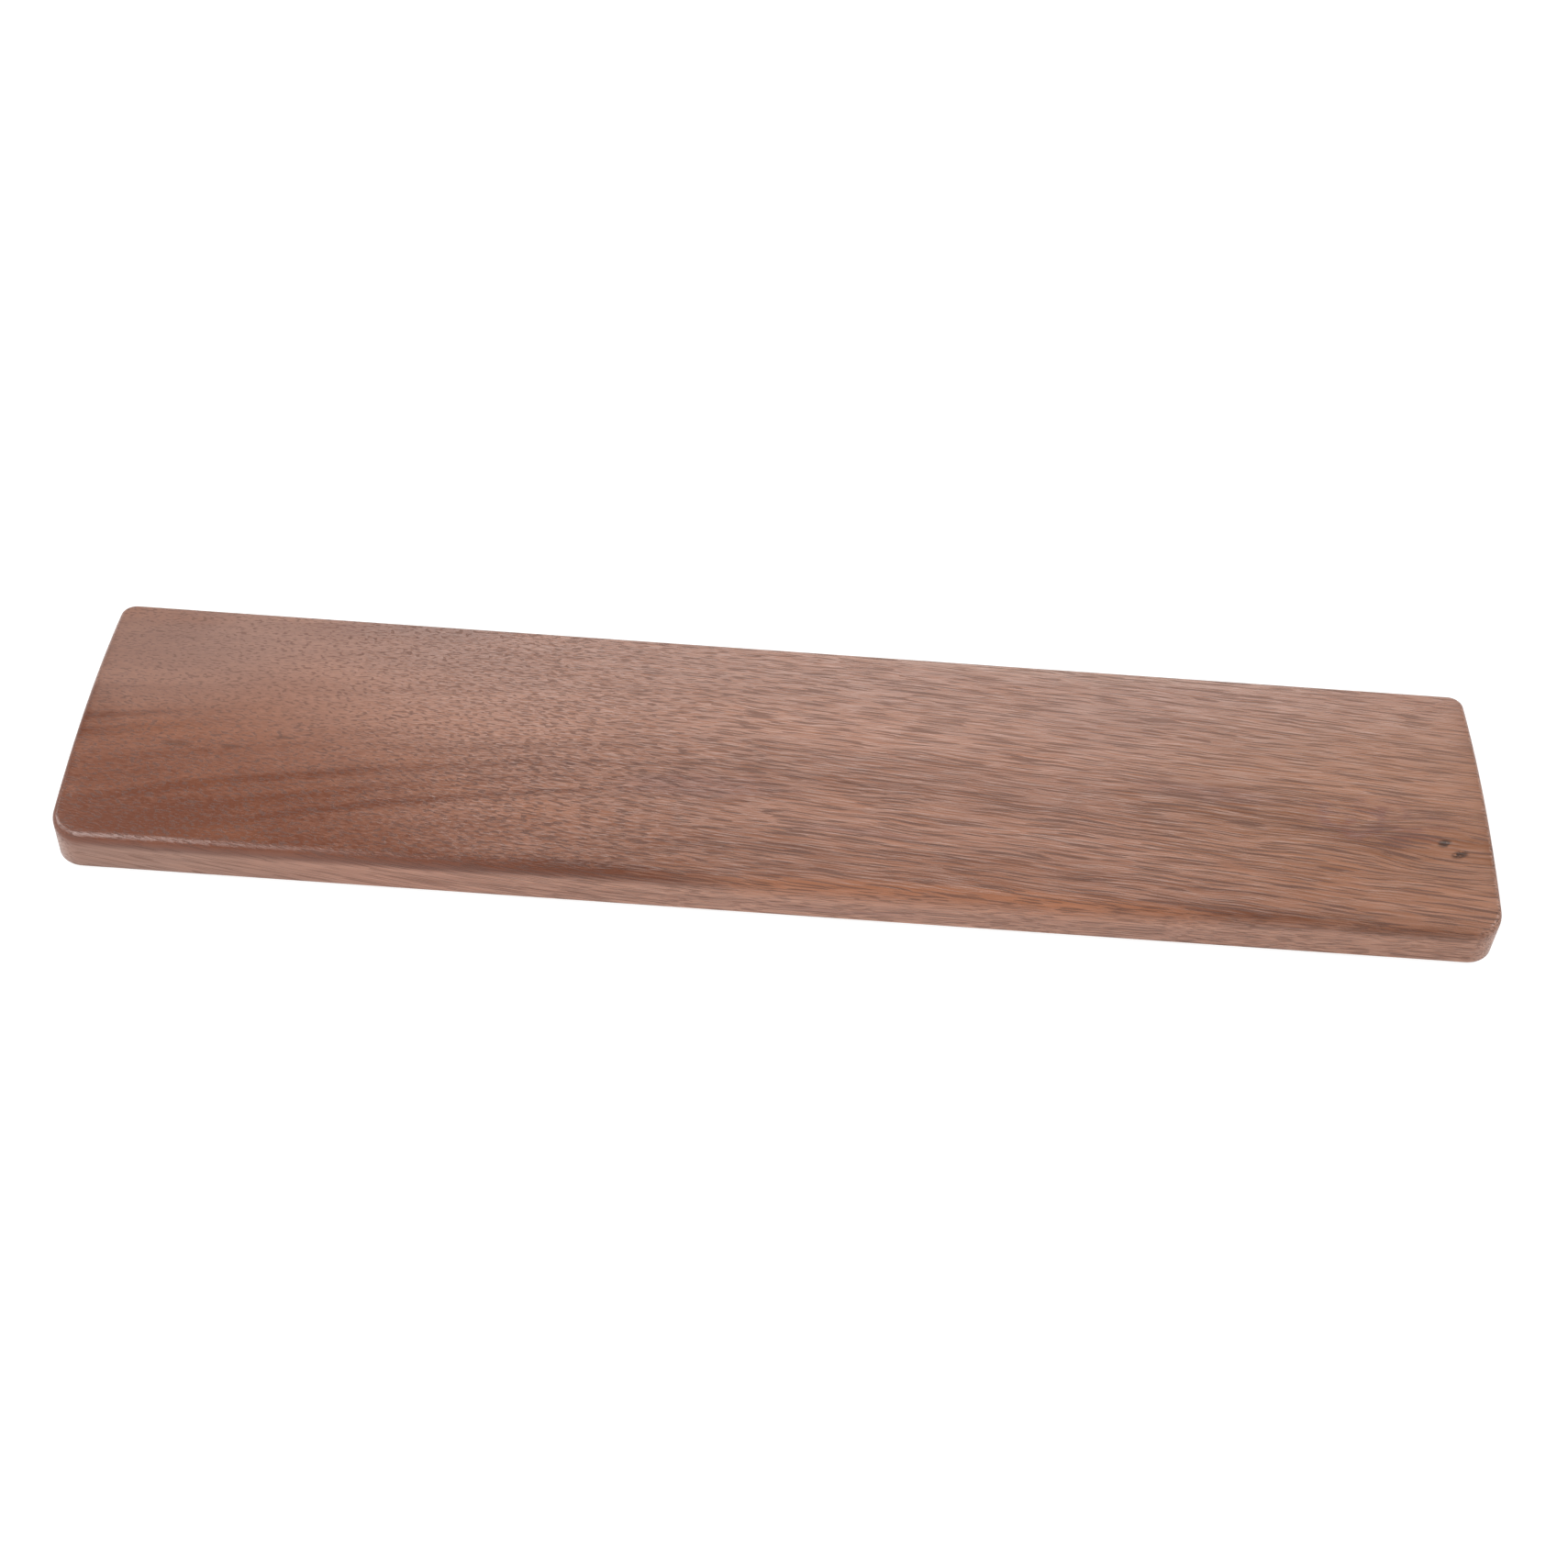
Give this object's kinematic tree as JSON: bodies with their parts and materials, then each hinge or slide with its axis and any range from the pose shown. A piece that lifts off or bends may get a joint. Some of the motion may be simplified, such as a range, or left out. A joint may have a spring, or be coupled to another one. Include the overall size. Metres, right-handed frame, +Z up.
{
  "type": "keyboard wrist rest",
  "caption": "Solid walnut wrist rest for a keyboard: a long board with an arched top that slopes down to a rounded palm-side edge, on round rubber feet glued into shallow pockets.",
  "frame": {"origin": "middle of the footprint, at the height of the surface that the feet stand on", "axes": "+X along the length of the board to the user's right, -Y towards the user, where the board is low, +Y towards the keyboard, where it is high, +Z up"},
  "size_m": [0.36, 0.08, 0.019],
  "materials": {
    "walnut": "sanded walnut with a thin satin oil and wax finish, fine open pores",
    "foot_rubber": "moulded dark rubber, matt",
    "adhesive_film": "translucent double-sided adhesive film, matt"
  },
  "bodies": {
    "root": {"wood_board": "walnut", "foot_front_left": "foot_rubber", "foot_front_middle": "foot_rubber", "foot_front_right": "foot_rubber", "foot_back_left": "foot_rubber", "foot_back_middle": "foot_rubber", "foot_back_right": "foot_rubber", "adhesive_front_left": "adhesive_film", "adhesive_front_middle": "adhesive_film", "adhesive_front_right": "adhesive_film", "adhesive_back_left": "adhesive_film", "adhesive_back_middle": "adhesive_film", "adhesive_back_right": "adhesive_film"}
  },
  "joints": []
}
